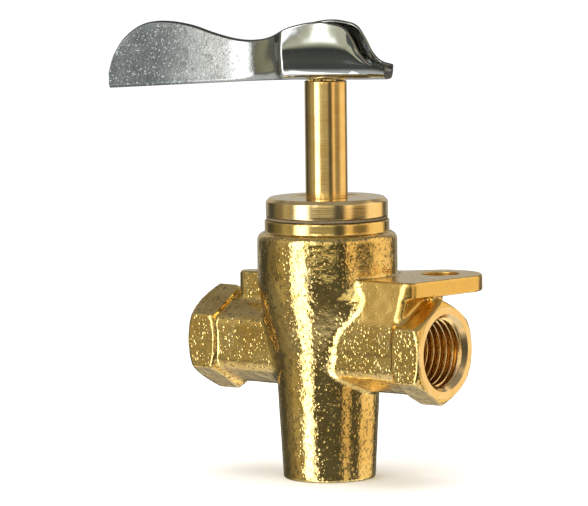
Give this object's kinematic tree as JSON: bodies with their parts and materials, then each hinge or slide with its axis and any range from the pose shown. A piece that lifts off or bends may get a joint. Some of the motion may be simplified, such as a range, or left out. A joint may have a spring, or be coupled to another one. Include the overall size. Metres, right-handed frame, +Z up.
{
  "type": "plug valve",
  "caption": "Forged brass quarter-turn plug valve with two hexagonal threaded ports, a drilled mounting lug, a tall stem and a folded plated lever.",
  "frame": {"origin": "centre of the barrel's flat bottom face, on the stem's axis", "axes": "+Z up the stem, +X along the ports towards the lug's side, +Y completes the right-handed frame"},
  "size_m": [0.0665, 0.0358, 0.0863],
  "materials": {
    "forged_brass": "as forged, faintly pitted and speckled, machined on the port faces and rim",
    "turned_brass": "bright turned, fine lathe marks",
    "plated_sheet": "pressed sheet, bright plated at the hub, satin on the paddle",
    "steel": "zinc plated",
    "seal_rubber": "black, smooth",
    "gasket_fibre": "compressed fibre sheet, matt"
  },
  "bodies": {
    "valve": {"valve_body": "forged_brass", "bonnet_cap": "turned_brass", "cap_gasket": "gasket_fibre", "stem_o_ring_lower": "seal_rubber", "stem_o_ring_upper": "seal_rubber", "stop_pin": "steel", "load_spring": "steel", "spring_thrust_washer": "steel"},
    "handle": {"drive_stem": "turned_brass", "taper_plug": "turned_brass", "plug_o_ring_lower": "seal_rubber", "plug_o_ring_upper": "seal_rubber", "stem_cross_pin": "steel", "spring_seat_washer": "steel", "lever": "plated_sheet", "lever_lock_washer": "steel", "lever_screw": "steel"}
  },
  "joints": [
    {"name": "stem_turn", "type": "hinge", "parent": "valve", "child": "handle", "pos_m": [0, 0, 0.0253], "axis": [0, 0, 1], "range_deg": [-22, 68]}
  ]
}
